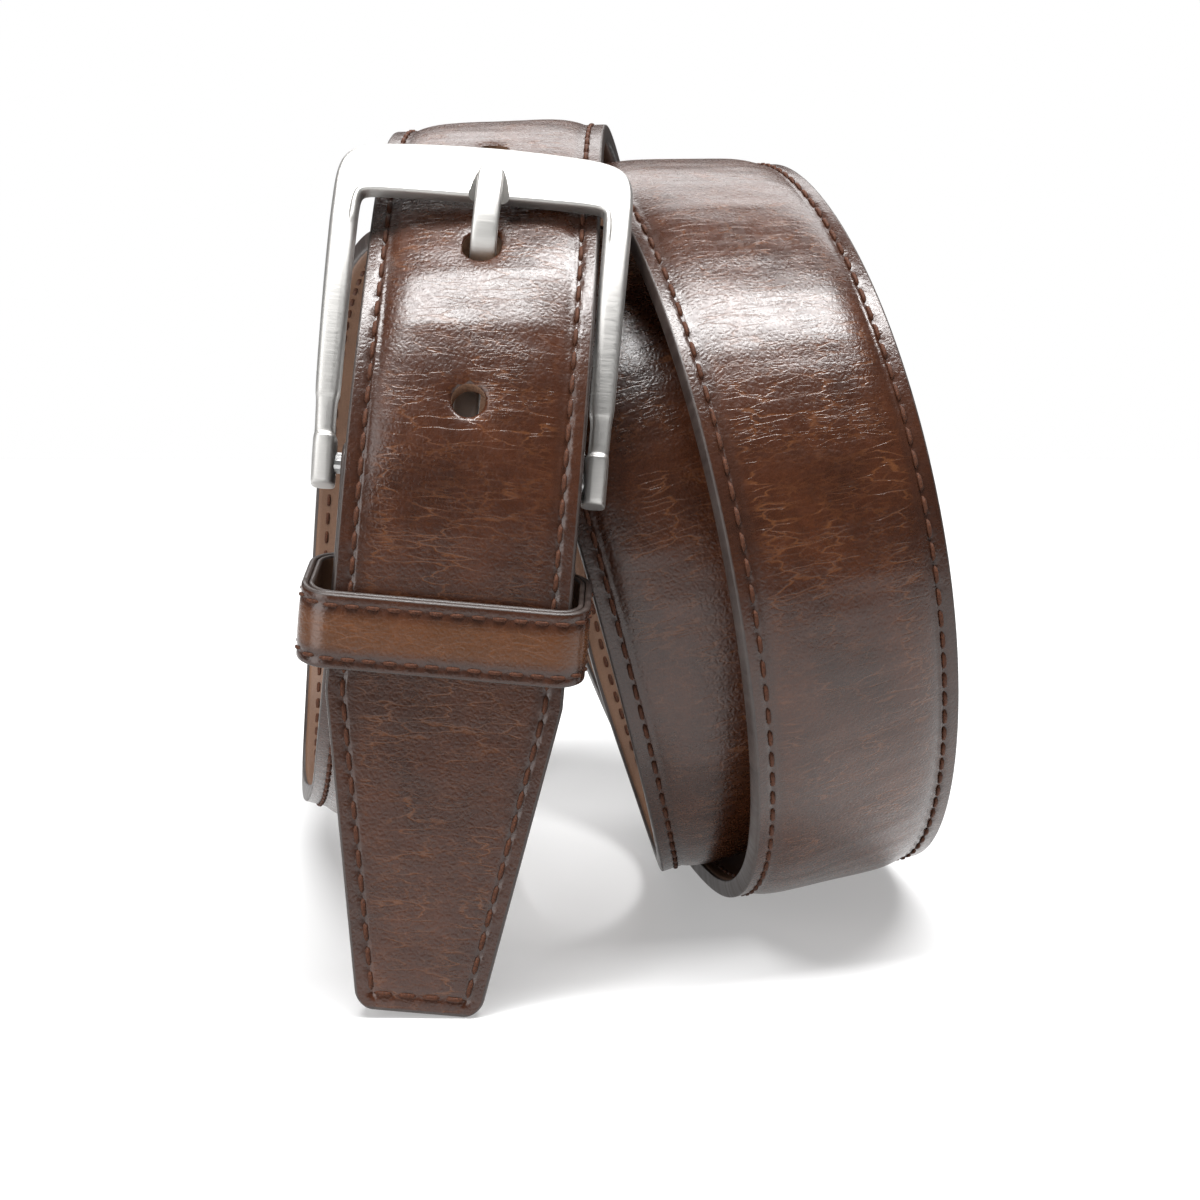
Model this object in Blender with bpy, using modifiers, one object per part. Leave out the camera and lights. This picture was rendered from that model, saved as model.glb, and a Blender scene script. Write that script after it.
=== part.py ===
"""A gentleman's dress belt, buckled and coiled in three turns, standing on its edge.

The strap is a crowned leather belt: outer leather, a filler pad and a lining, stitched along both
margins. It starts round the heel bar of a pin buckle, is wound three times about an axis along X,
passes under the toe bar, takes the prong, goes through the keeper and ends in a straight tip that
stands on the floor in front. Lengths are metres, +Z is up, and the floor is z = 0.
"""
import math

import bmesh
import bpy
import numpy as np
from mathutils import Matrix, Vector

MM = 0.001

# The wound strap: winding angle in degrees (0 front, 90 bottom, 180 back, 270 top, then on),
# and there the strap's place along X, its distance from the coil's axis, and its roll in degrees.
WINDING = (
    (-17, -16.4, 57.3, 1), (0, -17.9, 57.9, 1), (45, -24.4, 54.7, -20),
    (90, -29.8, 52.3, -13), (135, -33.8, 58.5, 4), (180, -31.6, 53.4, -1),
    (270, -12.7, 47.5, 0), (330, 12.2, 50.3, 4), (360, 20.6, 49.8, 3),
    (450, 29.9, 52.2, 19), (495, 21, 47, 8), (540, 14.2, 56.5, -6), (630, 18.3, 57.5, 0),
    (720, 40.4, 60.4, 21), (765, 43.7, 59.6, 23), (810, 37.6, 59.35, 3.5),
    (855, 23.3, 61.4, 0), (900, 5.3, 64.2, -3), (990, -11.9, 63.8, -2),
    (1035, -13.3, 63.9, -2), (1074, -16.5, 64.2, 0),
)
COIL_AXIS = (-4.4, 3.2, 62.15)
TIP_RUN = 69.0

# The strap
WIDTH = 35.0
MARGIN_BOTTOM, LINING_TOP = -1.5, -0.3
LEATHER_UNDER, MARGIN_TOP = -0.2, 1.5
CROWN = 1.2
FILLER_HALF_WIDTH = 11.2
STATION_PITCH = 9.0
TAPER_LENGTH = 47.0
TIP_HALF_WIDTH = 9.2
TIP_CORNER = 2.6
HOLE_DIAMETER, HOLE_PITCH, HOLE_COUNT, FIRST_HOLE = 5.1, 25.5, 5, 90.7
USED_HOLE, USED_HOLE_STRETCH = 1, 0.9
STITCH_INSET = 2.6
THREAD_WIDTH, THREAD_HEIGHT, THREAD_GAP = 0.7, 0.4, 0.25

# The turned-back end round the heel bar
BAR_RADIUS = 1.6
WRAP_INSIDE, WRAP_OUTSIDE = 1.9, 3.2
WRAP_END = 5.5
TAB_LENGTH = 42.0
SLOT_WIDTH = 5.8
SCREW_PLACES = (9.5, 36.0)

# The buckle
BAR_TO_TOE = 46.0
BAR_HALF_LENGTH = 20.4
BORE_CLEARANCE = 0.5
HOLE_TO_TOE, TOE_LIFT = 11.0, 6.2
ARCH = 4.2
PRONG_WIDTH, PRONG_THICKNESS = 4.0, 2.6
SEAT_DIAMETER, SEAT_RISE, SEAT_LENGTH = 6.2, 3.9, 12.0

# The keeper
KEEPER_FROM_TIP = 58.4
KEEPER_WIDTH, KEEPER_TILT = 11.0, 0.25
KEEPER_SLACK_LEFT, KEEPER_SLACK_RIGHT = 1.6, 0.9
KEEPER_SLACK_BELOW, KEEPER_SLACK_ABOVE = 1.5, 1.3
KEEPER_PLIES = ((0.0, 0.8), (0.9, 1.9))
KEEPER_BEND = 3.0


def spline(xs, ys, at):
    """The natural cubic spline through (xs, ys), read at the places in at."""
    count, step = len(xs), np.diff(xs)
    matrix, right = np.eye(count), np.zeros(count)
    for i in range(1, count - 1):
        matrix[i, i - 1:i + 2] = step[i - 1], 2 * (step[i - 1] + step[i]), step[i]
        right[i] = 6 * ((ys[i + 1] - ys[i]) / step[i] - (ys[i] - ys[i - 1]) / step[i - 1])
    bend = np.linalg.solve(matrix, right)
    i = np.clip(np.searchsorted(xs, at, side="right") - 1, 0, count - 2)
    a, c = (xs[i + 1] - at) / step[i], (at - xs[i]) / step[i]
    cubic = ((a**3 - a) * bend[i] + (c**3 - c) * bend[i + 1]) * step[i]**2 / 6
    return a * ys[i] + c * ys[i + 1] + cubic


def new_collection(name):
    made = bpy.data.collections.new(name)
    bpy.context.scene.collection.children.link(made)
    return made


for old in list(bpy.data.objects):
    bpy.data.objects.remove(old)
BELT = new_collection("leather_belt")
CUTTERS = new_collection("cutters")


class StrapPath:
    """The middle line of the strap's margins, by distance in mm from the heel bar."""

    def __init__(self):
        table = np.array(WINDING, float)
        turn = np.linspace(table[0, 0], table[-1, 0], 3000)
        along, radius, roll = (spline(table[:, 0], table[:, k], turn) for k in (1, 2, 3))
        angle = np.radians(turn)
        points = np.stack([along, -radius * np.cos(angle), -radius * np.sin(angle)], 1)
        points += np.array(COIL_AXIS)
        heading = points[-1] - points[-2]
        heading /= np.linalg.norm(heading)
        run = np.linspace(0, TIP_RUN, 140)[1:, None]
        self.points = np.vstack([points, points[-1] + heading * run])
        self.roll = np.radians(np.r_[roll, np.full(len(run), roll[-1])])
        steps = np.linalg.norm(np.diff(self.points, axis=0), axis=1)
        self.distance = np.r_[0, np.cumsum(steps)]
        self.length = self.distance[-1]
        self.tangent = np.gradient(self.points, self.distance, axis=0)

    def at(self, distance):
        """The point, and the unit vectors along, across and out of the strap."""
        read = [np.interp(distance, self.distance, c) for c in (*self.points.T, *self.tangent.T)]
        along = Vector(read[3:]).normalized()
        across = (Vector((1, 0, 0)) - along.x * along).normalized()
        outward = along.cross(across)
        roll = float(np.interp(distance, self.distance, self.roll))
        side = across * math.cos(roll) - outward * math.sin(roll)
        return Vector(read[:3]), along, side, outward * math.cos(roll) + across * math.sin(roll)


PATH = StrapPath()


def half_width(from_tip):
    if from_tip >= TAPER_LENGTH:
        return WIDTH / 2
    taper = TIP_HALF_WIDTH + (WIDTH / 2 - TIP_HALF_WIDTH) * from_tip / TAPER_LENGTH
    if from_tip >= TIP_CORNER:
        return taper
    return taper - TIP_CORNER * (1 - math.sqrt(1 - (1 - from_tip / TIP_CORNER)**2))


def crown_at(distance):
    """The pad's lift: none by the buckle, full along the belt, almost none on the tip."""
    grow = min(max((distance - 50) / 40, 0), 1)
    fade = min(max((PATH.length - distance - 62) / 40, 0), 1)
    return CROWN * min(grow, fade)


def all_stations():
    """Distances where every layer has a section, closer together at the tip's corners."""
    ends = [PATH.length - c for c in (58, TAPER_LENGTH, 14, TIP_CORNER, 1.3, 0.4, 0.0)]
    count = math.ceil((ends[0] - WRAP_END) / STATION_PITCH)
    return [*np.linspace(WRAP_END, ends[0], count + 1)[:-1], *ends]


STATIONS = all_stations()


def stations(first, last=math.inf):
    return [d for d in STATIONS if first <= d <= last]


def linked_object(name, mesh, material, collection):
    obj = bpy.data.objects.new(name, mesh)
    collection.objects.link(obj)
    if material:
        mesh.materials.append(material)
        mesh.shade_smooth()
        mesh.set_sharp_from_angle(angle=math.radians(40))
    return obj


def loft(name, rings, material, closed=False, backward=0):
    """A closed body through rings of points in mm, capped at its ends unless it runs round.

    The first rings may run backward along the strap; this says how many.
    """
    bm = bmesh.new()
    rows = [[bm.verts.new(Vector(p) * MM) for p in ring] for ring in rings]
    pairs = list(zip(rows, rows[1:]))
    if closed:
        pairs.append((rows[-1], rows[0]))
    for i, (one, two) in enumerate(pairs):
        for a, b, c, d in zip(one, one[1:] + one[:1], two[1:] + two[:1], two):
            # Every layer splits its faces the same way, so the layers stay parallel.
            if (b.co.x > a.co.x) != (i < backward):
                bm.faces.new((a, b, c))
                bm.faces.new((a, c, d))
            else:
                bm.faces.new((a, b, d))
                bm.faces.new((b, c, d))
    if not closed:
        bm.faces.new(reversed(rows[0]))
        bm.faces.new(rows[-1])
    bmesh.ops.recalc_face_normals(bm, faces=bm.faces)
    mesh = bpy.data.meshes.new(name)
    bm.to_mesh(mesh)
    bm.free()
    return linked_object(name, mesh, material, BELT)


def turned(name, profile, steps, place, material, collection):
    """A body turned about its own Z from a profile of (radius, height) in mm, outer side first."""
    bm = bmesh.new()
    verts = [bm.verts.new((r * MM, 0, z * MM)) for r, z in profile]
    for one, two in zip(verts, verts[1:]):
        bm.edges.new((one, two))
    mesh = bpy.data.meshes.new(name)
    bm.to_mesh(mesh)
    bm.free()
    obj = linked_object(name, mesh, material, collection)
    screw = obj.modifiers.new("turn", "SCREW")
    screw.steps = screw.render_steps = steps
    screw.use_merge_vertices = True
    screw.merge_threshold = 0.00001
    obj.matrix_world = place
    return obj


def frame_matrix(point, x_axis, y_axis, z_axis):
    matrix = Matrix((x_axis, y_axis, z_axis)).transposed().to_4x4()
    matrix.translation = Vector(point) * MM
    return matrix


def cylinder_cutter(name, diameter, height, place, sides=16):
    bm = bmesh.new()
    bmesh.ops.create_cone(bm, cap_ends=True, segments=sides, radius1=diameter / 2 * MM,
                          radius2=diameter / 2 * MM, depth=height * MM)
    mesh = bpy.data.meshes.new(name)
    bm.to_mesh(mesh)
    bm.free()
    return as_cutter(linked_object(name, mesh, None, CUTTERS), place)


def box_cutter(name, size, place):
    bm = bmesh.new()
    bmesh.ops.create_cube(bm, size=1.0)
    bmesh.ops.scale(bm, vec=Vector(size) * MM, verts=bm.verts)
    mesh = bpy.data.meshes.new(name)
    bm.to_mesh(mesh)
    bm.free()
    return as_cutter(linked_object(name, mesh, None, CUTTERS), place)


def as_cutter(obj, place):
    obj.matrix_world = place
    obj.hide_render = True
    obj.display_type = "WIRE"
    return obj


def cut(obj, *cutters):
    for cutter in cutters:
        boolean = obj.modifiers.new(cutter.name, "BOOLEAN")
        boolean.operation = "DIFFERENCE"
        boolean.solver = "EXACT"
        boolean.object = cutter


def carry(name, place, pieces):
    """An empty on a joint's axis, parent of the pieces that move about it."""
    pivot = bpy.data.objects.new(name, None)
    BELT.objects.link(pivot)
    pivot.matrix_world = place
    for piece in pieces:
        piece.parent = pivot
        piece.matrix_parent_inverse = place.inverted()


def material(name, colour, roughness, metallic=0.0):
    made = bpy.data.materials.new(name)
    made.use_nodes = True
    shader = made.node_tree.nodes["Principled BSDF"]
    shader.inputs["Base Color"].default_value = (*colour, 1)
    shader.inputs["Roughness"].default_value = roughness
    shader.inputs["Metallic"].default_value = metallic
    return made


def section(point, side, outward, across_and_out):
    """A ring of points from pairs of offsets across and out of the strap; none is below the floor."""
    ring = [point + side * v + outward * n for v, n in across_and_out]
    return [Vector((p.x, p.y, max(p.z, 0.0))) for p in ring]


def leather_section(distance):
    point, _, side, outward = PATH.at(distance)
    wide = half_width(PATH.length - distance)
    lift = crown_at(distance)
    shoulder, foot = 0.66 * wide, 0.77 * wide
    profile = [(-wide, MARGIN_TOP - 0.4), (-wide + 0.4, MARGIN_TOP), (-foot, MARGIN_TOP),
               (-shoulder, MARGIN_TOP + 0.75 * lift), (-0.3 * wide, MARGIN_TOP + lift),
               (0.3 * wide, MARGIN_TOP + lift), (shoulder, MARGIN_TOP + 0.75 * lift),
               (foot, MARGIN_TOP), (wide - 0.4, MARGIN_TOP), (wide, MARGIN_TOP - 0.4),
               (wide, LEATHER_UNDER), (foot - 0.6, LEATHER_UNDER),
               (shoulder, LEATHER_UNDER + 0.85 * lift), (-shoulder, LEATHER_UNDER + 0.85 * lift),
               (-foot + 0.6, LEATHER_UNDER), (-wide, LEATHER_UNDER)]
    return section(point, side, outward, profile)


def wrap_section(point, side, outward, low, high):
    """The leather round the heel bar and on the turned-back tab, with as many points as above."""
    wide = WIDTH / 2
    across = (-1, -0.977, -0.77, -0.66, -0.3, 0.3, 0.66, 0.77, 0.977, 1)
    upper = [(v * wide, high - (0.4 if abs(v) == 1 else 0)) for v in across]
    under = [(v * wide, low) for v in (1, 0.74, 0.66, -0.66, -0.74, -1)]
    return section(point, side, outward, upper + under)


def outer_leather(brown):
    rings = []
    for distance in reversed(stations(0, TAB_LENGTH)):
        point, _, side, outward = PATH.at(distance)
        rings.append(wrap_section(point, side, -outward, 0.3, 1.6))
    point, _, side, outward = PATH.at(2.2)
    rings.append(wrap_section(point, side, -outward, 1.3, 2.6))
    point, along, side, outward = PATH.at(0)
    for degrees in (180, 150, 120, 90, 60, 30, 0):
        turn = math.radians(degrees)
        away = outward * math.cos(turn) - along * math.sin(turn)
        rings.append(wrap_section(point, side, away, WRAP_INSIDE, WRAP_OUTSIDE))
    point, _, side, outward = PATH.at(2.2)
    rings.append(wrap_section(point, side, outward, 1.2, 2.7))
    tab_rings = len(stations(0, TAB_LENGTH))
    rings += [leather_section(distance) for distance in STATIONS]
    leather = loft("outer_leather", rings, brown, backward=tab_rings)
    point, along, side, outward = PATH.at(0)
    slot = box_cutter("prong_slot", (SLOT_WIDTH, 8.4, 9),
                      frame_matrix(point - along * 0.6, side, along, side.cross(along)))
    cut(leather, slot, *hole_cutters("leather_hole", HOLE_DIAMETER), *post_cutters())
    return leather


def hole_cutters(name, diameter):
    cutters = []
    for i in range(HOLE_COUNT):
        point, along, side, outward = PATH.at(PATH.length - FIRST_HOLE - i * HOLE_PITCH)
        place = frame_matrix(point, side, outward.cross(side), outward)
        stretch = USED_HOLE_STRETCH if i == USED_HOLE else 0
        cutters.append(cylinder_cutter(f"{name}_{i + 1}", diameter + stretch, 9, place))
    return cutters


def post_cutters():
    cutters = []
    for i, distance in enumerate(SCREW_PLACES):
        point, along, side, outward = PATH.at(distance)
        place = frame_matrix(point, side, outward.cross(side), outward)
        cutters.append(cylinder_cutter(f"post_hole_{i + 1}", 4.0, 7, place, 12))
    return cutters


def filler(foam):
    rings = []
    for distance in stations(95, PATH.length - 104):
        point, _, side, outward = PATH.at(distance)
        top = LEATHER_UNDER + 0.85 * crown_at(distance) - 0.12
        wide = FILLER_HALF_WIDTH
        profile = [(-wide, LEATHER_UNDER), (-wide + 0.3, top), (wide - 0.3, top),
                   (wide, LEATHER_UNDER)]
        rings.append(section(point, side, outward, profile))
    pad = loft("filler", rings, foam)
    cut(pad, *hole_cutters("filler_hole", HOLE_DIAMETER + 0.6))


def lining(smooth_brown):
    rings = []
    for distance in stations(stations(0, TAB_LENGTH)[-1]):
        point, _, side, outward = PATH.at(distance)
        wide = half_width(PATH.length - distance)
        across = [-wide, -0.74 * wide, -0.66 * wide, 0.66 * wide, 0.74 * wide, wide]
        profile = [(v, LINING_TOP) for v in across]
        profile += [(v, MARGIN_BOTTOM) for v in (wide, 0.7 * wide, -0.7 * wide, -wide)]
        rings.append(section(point, side, outward, profile))
    # The lining butts against the end of the turned-back tab.
    rings[0] = [a.lerp(b, 0.06) for a, b in zip(rings[0], rings[1])]
    layer = loft("lining", rings, smooth_brown)
    cut(layer, *hole_cutters("lining_hole", HOLE_DIAMETER))


def thread_ring(distance, edge, height, up):
    point, _, side, outward = PATH.at(distance)
    half = THREAD_WIDTH / 2
    return section(point, side, outward,
                   [(edge - half, height), (edge + half, height), (edge, height + up)])


def stitching(name, start, height, up, dark):
    """One thread down the left margin, across the tip and back up the right margin."""
    down = stations(start, PATH.length - STITCH_INSET)
    edge = [half_width(PATH.length - d) - STITCH_INSET for d in down]
    left = [thread_ring(d, -e, height, up) for d, e in zip(down, edge)]
    right = [thread_ring(d, e, height, up) for d, e in zip(down, edge)]
    # Across the tip the thread's section turns, so its width lies along the strap.
    corner, along, side, outward = PATH.at(PATH.length - STITCH_INSET)
    turn = edge[-1] - THREAD_WIDTH
    across = [section(corner + side * v, along, outward,
                      [(-THREAD_WIDTH / 2, height), (THREAD_WIDTH / 2, height), (0, height + up)])
              for v in (-turn, turn)]
    first = [across[0][i] for i in (1, 0, 2)]
    last = [across[1][i] for i in (1, 0, 2)]
    flip = [[ring[i] for i in (1, 0, 2)] for ring in reversed(right)]
    loft(name, left[:-1] + [first, last] + flip[1:], dark)


def needle_and_bobbin(dark):
    stitching("needle_thread", 14.5, MARGIN_TOP + THREAD_GAP, THREAD_HEIGHT, dark)
    stitching("bobbin_thread", 55.0, MARGIN_BOTTOM - THREAD_GAP, -THREAD_HEIGHT, dark)


class BuckleFrame:
    """The buckle's own axes: origin on the heel bar, x across, y to the toe bar, z outward."""

    def __init__(self):
        self.origin, _, side, _ = PATH.at(0)
        toe, _, _, toe_out = PATH.at(PATH.length - FIRST_HOLE - HOLE_PITCH - HOLE_TO_TOE)
        target = toe + toe_out * TOE_LIFT
        self.x = side
        reach = target - self.origin
        self.y = (reach - side * reach.dot(side)).normalized()
        self.z = self.x.cross(self.y)

    def point(self, x, y, z):
        return self.origin + self.x * x + self.y * y + self.z * z

    def local(self, point):
        offset = Vector(point) - self.origin
        return offset.dot(self.x), offset.dot(self.y), offset.dot(self.z)

    def matrix(self):
        return frame_matrix(self.origin, self.x, self.y, self.z)


BUCKLE = BuckleFrame()
PRONG_HOLE = BUCKLE.local(PATH.at(PATH.length - FIRST_HOLE - HOLE_PITCH)[0])


def arch(y):
    return ARCH * (1 - ((y - BAR_TO_TOE / 2) / (BAR_TO_TOE / 2))**2)


def prong_lean(y):
    """How far the prong leans sideways to meet its hole, y mm from the heel bar."""
    return PRONG_HOLE[0] * min(max(y / PRONG_HOLE[1], 0), 1.3)


def buckle_frame(nickel):
    # Outer and inner edge of the right half, heel to toe: x, y, x, y, and half the thickness.
    toe = BAR_TO_TOE
    half = [(21.8, -3.4, 18.6, -3.4, 1.9), (21.9, -2.6, 18.5, -2.6, 2.5), (21.9, 3.4, 18.5, 3.4, 2.5),
            (21.8, 4.6, 18.9, 4.6, 1.6), (22.0, 9, 18.9, 9, 1.6), (22.1, 10, 18.6, 10, 1.9),
            (22.3, 20, 18.6, 20, 1.9), (22.4, toe - 16, 18.6, toe - 16, 1.9),
            (22.5, toe - 7, 18.6, toe - 7.9, 1.9), (22.3, toe - 2.5, 18.4, toe - 5.6, 1.9),
            (21.2, toe + 1.2, 17.6, toe - 4.6, 1.8), (18.8, toe + 3.6, 15.5, toe - 4.3, 1.8),
            (12, toe + 4.4, 10, toe - 4.1, 1.7), (4, toe + 4.8, 4, toe - 4, 1.7)]
    rows = half + [(-ox, oy, -ix, iy, t) for ox, oy, ix, iy, t in reversed(half)]
    rings = []
    for outer_x, outer_y, inner_x, inner_y, thick in rows:
        outer, inner = Vector((outer_x, outer_y)), Vector((inner_x, inner_y))
        ring = []
        for along, up in ((0, -0.6), (0.12, -1), (0.88, -1), (1, -0.6), (1, 0.5), (0.85, 1),
                          (0.15, 1), (0, 0.5)):
            spot = inner.lerp(outer, along)
            ring.append(BUCKLE.point(spot.x, spot.y, arch(spot.y) + up * thick))
        rings.append(ring)
    frame = loft("buckle_frame", rings, nickel)
    turned_sideways = BUCKLE.matrix() @ Matrix.Rotation(math.radians(90), 4, "Y")
    bore = cylinder_cutter("bar_bore", 2 * BAR_RADIUS + BORE_CLEARANCE,
                           2 * (BAR_HALF_LENGTH + BORE_CLEARANCE), turned_sideways)
    seat_middle = Vector((prong_lean(toe), toe + 0.4, arch(toe) + SEAT_RISE))
    seat = BUCKLE.matrix() @ Matrix.Translation(seat_middle * MM)
    groove = cylinder_cutter("prong_seat", SEAT_DIAMETER, SEAT_LENGTH,
                             seat @ Matrix.Rotation(math.radians(90), 4, "X"))
    cut(frame, bore, groove)
    return frame


def heel_bar(steel):
    turned_sideways = BUCKLE.matrix() @ Matrix.Rotation(math.radians(90), 4, "Y")
    half = BAR_HALF_LENGTH
    profile = [(0, half), (BAR_RADIUS - 0.3, half), (BAR_RADIUS, half - 0.3),
               (BAR_RADIUS, -half + 0.3), (BAR_RADIUS - 0.3, -half), (0, -half)]
    return turned("heel_bar", profile, 16, turned_sideways, steel, BELT)


def prong(nickel):
    """A flat-topped tongue: a curl round the heel bar, a shank under the strap, up through a hole."""
    _, hole_y, hole_z = PRONG_HOLE
    eye = BAR_RADIUS + 0.35 + 0.65
    rows = []
    for degrees in range(10, -271, -35):
        turn = math.radians(degrees)
        rows.append((eye * math.cos(turn), eye * math.sin(turn), 1.3, PRONG_WIDTH))
    full, toe = PRONG_THICKNESS, BAR_TO_TOE
    rows += [(6, 2.4, 1.6, PRONG_WIDTH), (12, 1.7, full, PRONG_WIDTH), (21, 0.7, full, PRONG_WIDTH),
             (hole_y - 5, hole_z - 4.3, full, PRONG_WIDTH),
             (hole_y - 2.3, hole_z - 3.3, 2.2, PRONG_WIDTH),
             (hole_y - 0.5, hole_z, 2.3, PRONG_WIDTH),
             (hole_y + 0.9, hole_z + 2.7, 2.3, PRONG_WIDTH),
             (hole_y + 4.5, hole_z + 4.1, full, PRONG_WIDTH),
             (toe - 3.5, arch(toe - 3.5) + 3.1, full, PRONG_WIDTH),
             (toe - 0.6, arch(toe) + 3.0, 2.3, PRONG_WIDTH),
             (toe + 0.6, arch(toe) + 2.9, 1.8, 3.2), (toe + 1.1, arch(toe) + 2.8, 1.0, 1.8)]
    line = [Vector((0, y, z)) for y, z, _, _ in rows]
    rings = []
    for i, (y, z, thick, wide) in enumerate(rows):
        heading = (line[min(i + 1, len(line) - 1)] - line[max(i - 1, 0)]).normalized()
        up = Vector((0, -heading.z, heading.y))
        ring = []
        for a, b in ((-0.5, -0.2), (-0.3, -0.5), (0.3, -0.5), (0.5, -0.2), (0.5, 0.25),
                     (0.35, 0.5), (-0.35, 0.5), (-0.5, 0.25)):
            spot = Vector((prong_lean(y) + a * wide, y, z)) + up * b * thick
            ring.append(BUCKLE.point(*spot))
        rings.append(ring)
    return loft("prong", rings, nickel)


class KeeperFrame:
    """The keeper's axes and the box inside it: across and out of the strap, in mm."""

    def __init__(self):
        self.origin, self.along, self.side, self.outward = PATH.at(PATH.length - KEEPER_FROM_TIP)
        edges = []
        for distance in (12, 16, 20, 24, 28):
            point, _, side, outward = PATH.at(distance)
            for v in (-WIDTH / 2, 0, WIDTH / 2):
                edges.append(point + side * v + outward * MARGIN_BOTTOM - self.origin)
        across = [edge.dot(self.side) for edge in edges]
        depth = min(edge.dot(self.outward) for edge in edges)
        self.left = min(-WIDTH / 2, min(across)) - KEEPER_SLACK_LEFT
        self.right = max(WIDTH / 2, max(across)) + KEEPER_SLACK_RIGHT
        self.low, self.high = depth - KEEPER_SLACK_BELOW, MARGIN_TOP + KEEPER_SLACK_ABOVE

    def ring(self, grow, radius):
        """A rounded rectangle round the two straps, grown by this much."""
        left, right = self.left - grow + radius, self.right + grow - radius
        low, high = self.low - grow + radius, self.high + grow - radius
        corners = ((left, high, 180), (right, high, 90), (right, low, 0), (left, low, -90))
        outline = []
        for x, z, start in corners:
            for step in range(5):
                turn = math.radians(start - 22.5 * step)
                outline.append((x + radius * math.cos(turn), z + radius * math.sin(turn)))
        return outline

    def point(self, x, y, z):
        y += KEEPER_TILT * (z - (self.low + self.high) / 2)
        return self.origin + self.side * x + self.along * y + self.outward * z


KEEPER = KeeperFrame()


def band(name, inside, outside, width, made_of):
    """One ply of the keeper: a flat band bent round into a ring."""
    inner = KEEPER.ring(inside, KEEPER_BEND + inside)
    outer = KEEPER.ring(outside, KEEPER_BEND + outside)
    half = width / 2
    rings = []
    for (ax, az), (bx, bz) in zip(inner, outer):
        rings.append([KEEPER.point(ax, -half, az), KEEPER.point(bx, -half, bz),
                      KEEPER.point(bx, half, bz), KEEPER.point(ax, half, az)])
    return loft(name, rings, made_of, closed=True)


def keeper(brown, smooth_brown, dark, steel):
    inner_ply, outer_ply = KEEPER_PLIES
    pieces = [band("keeper_lining", *inner_ply, KEEPER_WIDTH, smooth_brown),
              band("keeper_leather", *outer_ply, KEEPER_WIDTH, brown)]
    under_thread = outer_ply[1] + THREAD_GAP
    over_thread = under_thread + THREAD_HEIGHT
    for name, place in (("keeper_thread_upper", -1), ("keeper_thread_lower", 1)):
        y = place * (KEEPER_WIDTH / 2 - 1.6)
        rings = []
        inner = KEEPER.ring(under_thread, KEEPER_BEND + under_thread)
        outer = KEEPER.ring(over_thread, KEEPER_BEND + over_thread)
        for (ax, az), (bx, bz) in zip(inner, outer):
            rings.append([KEEPER.point(ax, y - 0.35, az), KEEPER.point(bx, y, bz),
                          KEEPER.point(ax, y + 0.35, az)])
        pieces.append(loft(name, rings, dark, closed=True))
    back = KEEPER.low - outer_ply[1] - 0.5
    wire = bpy.data.curves.new("keeper_staple", "CURVE")
    wire.dimensions = "3D"
    wire.bevel_depth = 0.35 * MM
    wire.bevel_resolution = 2
    wire.use_fill_caps = True
    wire.materials.append(steel)
    spline_points = [KEEPER.point(x, 0, back) * MM for x in (-4, -1.5, 1.5, 4)]
    line = wire.splines.new("POLY")
    line.points.add(len(spline_points) - 1)
    for point, place in zip(line.points, spline_points):
        point.co = (*place, 1)
    staple = bpy.data.objects.new("keeper_staple", wire)
    BELT.objects.link(staple)
    return [*pieces, staple]


def turnback_screws(brass):
    for i, distance in enumerate(SCREW_PLACES):
        point, _, side, outward = PATH.at(distance)
        place = frame_matrix(point, side, outward.cross(side), outward)
        post = [(0, 2.5), (2.4, 2.5), (2.8, 2.2), (2.8, 1.8), (1.7, 1.8), (1.7, -1.5),
                (1.0, -1.5), (1.0, 0.8), (0, 0.8)]
        screw = [(0, 0.5), (0.7, 0.5), (0.7, -2.1), (2.8, -2.1), (2.8, -2.45), (2.4, -2.75),
                 (0, -2.75)]
        turned(f"turnback_post_{i + 1}", post, 16, place, brass, BELT)
        turned(f"turnback_screw_{i + 1}", screw, 16, place, brass, BELT)


def main():
    brown = material("brown_leather", (0.16, 0.06, 0.03), 0.35)
    smooth_brown = material("lining_leather", (0.33, 0.17, 0.10), 0.6)
    dark = material("dark_thread", (0.05, 0.022, 0.014), 0.8)
    foam = material("filler_pad", (0.5, 0.42, 0.3), 0.9)
    nickel = material("satin_nickel", (0.62, 0.6, 0.57), 0.32, 1.0)
    steel = material("steel_wire", (0.55, 0.55, 0.55), 0.3, 1.0)
    outer_leather(brown)
    filler(foam)
    lining(smooth_brown)
    needle_and_bobbin(dark)
    carry("buckle_axis", BUCKLE.matrix(), [buckle_frame(nickel), heel_bar(steel)])
    carry("prong_axis", BUCKLE.matrix(), [prong(nickel)])
    keeper_place = frame_matrix(KEEPER.origin, KEEPER.side, KEEPER.along,
                                KEEPER.side.cross(KEEPER.along))
    carry("keeper_axis", keeper_place, keeper(brown, smooth_brown, dark, steel))
    turnback_screws(nickel)


main()
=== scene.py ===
"""The looks of a coiled, buckled dress belt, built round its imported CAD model.

Lengths are millimetres, as in the CAD's own source, and new_object makes them metres. The
stage, the lights and the bumps of the materials are given in metres.
The strap's route, the buckle's axes and the keeper's box repeat the CAD model's formulas.
"""

import math

import bmesh
import bpy
import numpy as np
from mathutils import Matrix, Vector


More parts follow.
